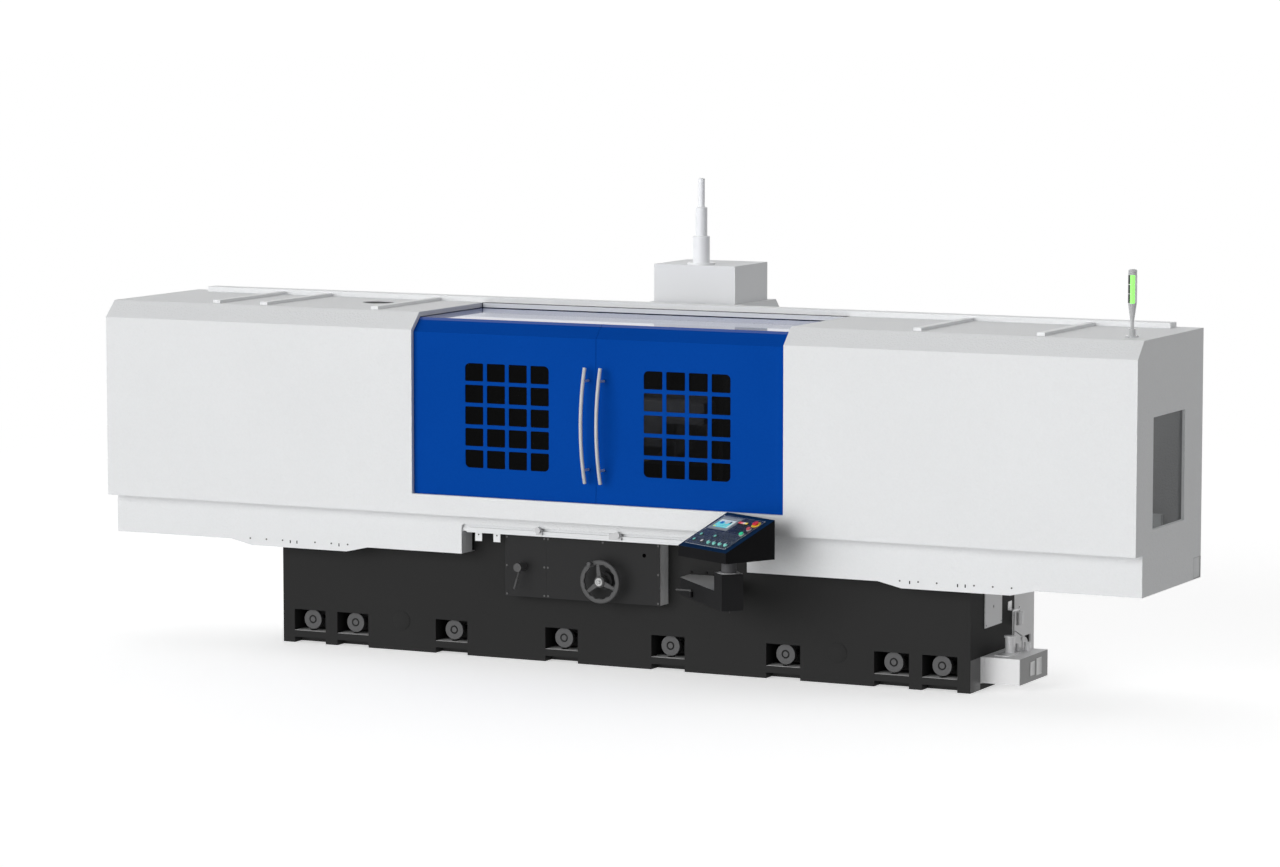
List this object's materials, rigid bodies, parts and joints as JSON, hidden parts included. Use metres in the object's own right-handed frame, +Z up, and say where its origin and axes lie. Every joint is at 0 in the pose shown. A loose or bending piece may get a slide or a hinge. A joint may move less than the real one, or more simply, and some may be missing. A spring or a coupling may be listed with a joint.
{
  "type": "surface grinder",
  "caption": "Enclosed travelling-table surface grinder with sliding doors, rear travelling column, telescopic screw guard, handwheel gear case and swivelling console.",
  "frame": {"origin": "on the floor, under the middle of the overall box", "axes": "+X to the operator's right along the table, +Y from the operator to the back, +Z up"},
  "size_m": [6.6, 2.7278, 2.789],
  "materials": {
    "white_paint": "fine textured powder coat",
    "blue_paint": "semi-gloss blue coat",
    "black_casting": "fine textured black paint on iron",
    "black_paint": "fine textured black coat",
    "grey_paint": "light grey coat",
    "machined_steel": "ground",
    "chuck_steel": "ground poles",
    "dark_grip": "moulded",
    "handwheel_metal": "grey cast and coated",
    "chrome": "polished",
    "clear_pane": "clear safety glass",
    "dark_pane": "dark tinted safety glass",
    "lamp_lens": "clear green-lit lens",
    "panel_face": "printed foil",
    "red_plastic": "glossy",
    "green_plastic": "glossy",
    "pale_plastic": "satin",
    "white_plastic": "satin",
    "abrasive": "rough grit",
    "zinc_steel": "zinc plated"
  },
  "bodies": {
    "machine": {"front_left_panel": "white_paint", "front_right_panel": "white_paint", "front_sill": "white_paint", "lower_skirt": "white_paint", "left_end_wall": "white_paint", "right_end_wall": "white_paint", "end_window": "clear_pane", "rear_wall": "white_paint", "roof_bars": "white_paint", "door_rails": "machined_steel", "signal_lamp_base": "chrome", "signal_lamp_column": "lamp_lens", "bed": "black_casting", "levelling_wheels": "dark_grip", "bed_end_covers": "grey_paint", "guide_rails": "machined_steel", "feed_screws": "machined_steel", "cross_bed": "black_casting", "apron_housing": "black_paint", "apron_covers": "black_paint", "cover_screws": "zinc_steel", "stroke_rail": "white_paint", "console_arm": "black_paint", "hydraulic_unit": "grey_paint", "lube_tank": "grey_paint", "lube_pump": "zinc_steel"},
    "table": {"table": "machined_steel", "magnetic_chuck": "chuck_steel"},
    "column": {"column": "black_casting", "column_cover": "white_paint", "column_top_box": "white_paint", "guard_lower_tube": "chrome"},
    "middle_tube": {"guard_middle_tube": "chrome"},
    "wheelhead": {"wheelhead": "grey_paint", "wheel_guard": "grey_paint", "z_screw": "machined_steel", "guard_upper_tube": "chrome"},
    "wheel": {"grinding_wheel": "abrasive", "wheel_flange": "machined_steel"},
    "left_door": {"left_door": "blue_paint", "left_door_pane": "dark_pane", "left_door_handle": "chrome"},
    "right_door": {"right_door": "blue_paint", "right_door_pane": "dark_pane", "right_door_handle": "chrome"},
    "handwheel": {"handwheel": "handwheel_metal"},
    "handwheel_knob": {"handwheel_knob": "dark_grip"},
    "reversing_lever": {"reversing_lever": "handwheel_metal"},
    "left_stop": {"left_stroke_stop": "white_plastic"},
    "right_stop": {"right_stroke_stop": "white_plastic"},
    "arm_latch": {"arm_latch": "black_paint"},
    "console": {"console_shell": "black_paint", "console_panel": "panel_face"},
    "emergency_stop": {"emergency_stop": "red_plastic"},
    "stop_button": {"stop_button": "red_plastic"},
    "start_button": {"start_button": "green_plastic"},
    "selector_1": {"selector_1": "pale_plastic"},
    "selector_2": {"selector_2": "pale_plastic"},
    "selector_3": {"selector_3": "pale_plastic"},
    "selector_4": {"selector_4": "pale_plastic"}
  },
  "joints": [
    {"name": "table_slide", "type": "slide", "parent": "machine", "child": "table", "axis": [1, 0, 0], "range_m": [-1.55, 1.55]},
    {"name": "cross_slide", "type": "slide", "parent": "machine", "child": "column", "axis": [0, 1, 0], "range_m": [-0.2, 0.25]},
    {"name": "head_slide", "type": "slide", "parent": "column", "child": "wheelhead", "axis": [0, 0, 1], "range_m": [-0.2, 0.2]},
    {"name": "guard_slide", "type": "slide", "parent": "column", "child": "middle_tube", "axis": [0, 0, 1], "range_m": [-0.1, 0.1]},
    {"name": "wheel_spin", "type": "hinge", "parent": "wheelhead", "child": "wheel", "pos_m": [0, -0.25606, 1.34], "axis": [0, 1, 0], "continuous": true},
    {"name": "left_door_slide", "type": "slide", "parent": "machine", "child": "left_door", "axis": [-1, 0, 0], "range_m": [0, 1.1]},
    {"name": "right_door_slide", "type": "slide", "parent": "machine", "child": "right_door", "axis": [1, 0, 0], "range_m": [0, 1.1]},
    {"name": "handwheel_turn", "type": "hinge", "parent": "machine", "child": "handwheel", "pos_m": [0, -0.75606, 0.52], "axis": [0, 1, 0], "continuous": true},
    {"name": "knob_turn", "type": "hinge", "parent": "handwheel", "child": "handwheel_knob", "pos_m": [-0.05493, -0.75606, 0.6233], "axis": [0, 1, 0], "continuous": true},
    {"name": "lever_turn", "type": "hinge", "parent": "machine", "child": "reversing_lever", "pos_m": [-0.54, -0.67906, 0.57], "axis": [0, 1, 0], "range_deg": [-25, 25]},
    {"name": "left_stop_slide", "type": "slide", "parent": "machine", "child": "left_stop", "axis": [1, 0, 0], "range_m": [-0.1, 0.1]},
    {"name": "right_stop_slide", "type": "slide", "parent": "machine", "child": "right_stop", "axis": [1, 0, 0], "range_m": [-0.1, 0.1]},
    {"name": "latch_turn", "type": "hinge", "parent": "machine", "child": "arm_latch", "pos_m": [0.63806, -0.88043, 0.52], "axis": [0, 0, 1], "range_deg": [-30, 60]},
    {"name": "console_swivel", "type": "hinge", "parent": "machine", "child": "console", "pos_m": [0.994, -1.12606, 0.76], "axis": [0, 0, 1], "range_deg": [-5, 75]},
    {"name": "emergency_stop_push", "type": "slide", "parent": "console", "child": "emergency_stop", "axis": [0.2029, 0.3768, -0.9038], "range_m": [0, 0.005], "stiffness_N_per_m": 900, "springref_m": -0.002},
    {"name": "stop_button_push", "type": "slide", "parent": "console", "child": "stop_button", "axis": [0.2029, 0.3768, -0.9038], "range_m": [0, 0.003], "stiffness_N_per_m": 600, "springref_m": -0.002},
    {"name": "start_button_push", "type": "slide", "parent": "console", "child": "start_button", "axis": [0.2029, 0.3768, -0.9038], "range_m": [0, 0.003], "stiffness_N_per_m": 600, "springref_m": -0.002},
    {"name": "selector_1_turn", "type": "hinge", "parent": "console", "child": "selector_1", "pos_m": [0.902, -1.19718, 0.85217], "axis": [-0.2029, -0.3768, 0.9038], "range_deg": [-45, 45]},
    {"name": "selector_2_turn", "type": "hinge", "parent": "console", "child": "selector_2", "pos_m": [0.94837, -1.22215, 0.85217], "axis": [-0.2029, -0.3768, 0.9038], "range_deg": [-45, 45]},
    {"name": "selector_3_turn", "type": "hinge", "parent": "console", "child": "selector_3", "pos_m": [0.99474, -1.24712, 0.85217], "axis": [-0.2029, -0.3768, 0.9038], "range_deg": [-45, 45]},
    {"name": "selector_4_turn", "type": "hinge", "parent": "console", "child": "selector_4", "pos_m": [1.04112, -1.27209, 0.85217], "axis": [-0.2029, -0.3768, 0.9038], "range_deg": [-45, 45]}
  ],
  "couplings": [
    {"joint": "guard_slide", "follows": "head_slide", "ratio": 0.5}
  ]
}
